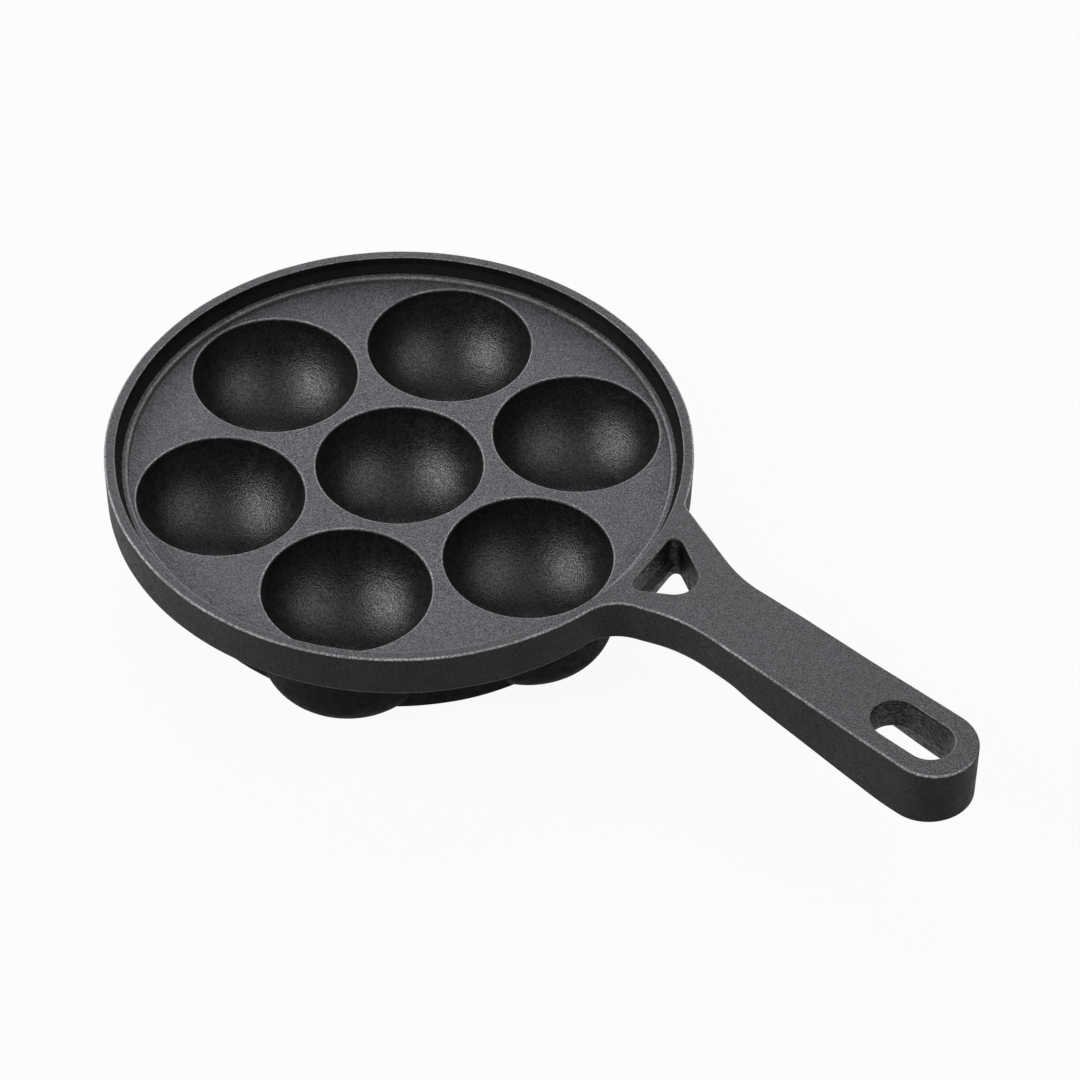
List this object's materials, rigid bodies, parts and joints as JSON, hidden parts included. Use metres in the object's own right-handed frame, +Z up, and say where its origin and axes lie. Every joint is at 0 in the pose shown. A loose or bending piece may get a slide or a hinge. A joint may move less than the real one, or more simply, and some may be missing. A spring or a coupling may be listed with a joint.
{
  "type": "paniyaram pan",
  "caption": "Cast-iron stovetop pan: round bowls sunk in a shallow rimmed tray, webs of a heat ring below, and a flat handle with a window at its root and a hanging slot at its tip.",
  "frame": {"origin": "centre of the middle bowl's flat foot, on the pan's axis, in the plane that the bowls stand on", "axes": "+X out along the handle, +Z up out of the bowls"},
  "size_m": [0.3595, 0.215, 0.05],
  "materials": {
    "tray_iron": "seasoned sand-cast iron, fine grain, lighter on worn edges",
    "bowl_iron": "seasoned cast iron, smoother and darker, with a dull sheen",
    "band_iron": "seasoned sand-cast iron, matt"
  },
  "bodies": {
    "root": {"rim_wall": "tray_iron", "tray_floor_centre": "tray_iron", "tray_floor_1": "tray_iron", "tray_floor_2": "tray_iron", "tray_floor_3": "tray_iron", "tray_floor_4": "tray_iron", "tray_floor_5": "tray_iron", "tray_floor_6": "tray_iron", "bowl_centre": "bowl_iron", "bowl_1": "bowl_iron", "bowl_2": "bowl_iron", "bowl_3": "bowl_iron", "bowl_4": "bowl_iron", "bowl_5": "bowl_iron", "bowl_6": "bowl_iron", "ring_web_1": "band_iron", "ring_web_2": "band_iron", "ring_web_3": "band_iron", "ring_web_4": "band_iron", "ring_web_5": "band_iron", "ring_web_6": "band_iron", "handle": "tray_iron"}
  },
  "joints": []
}
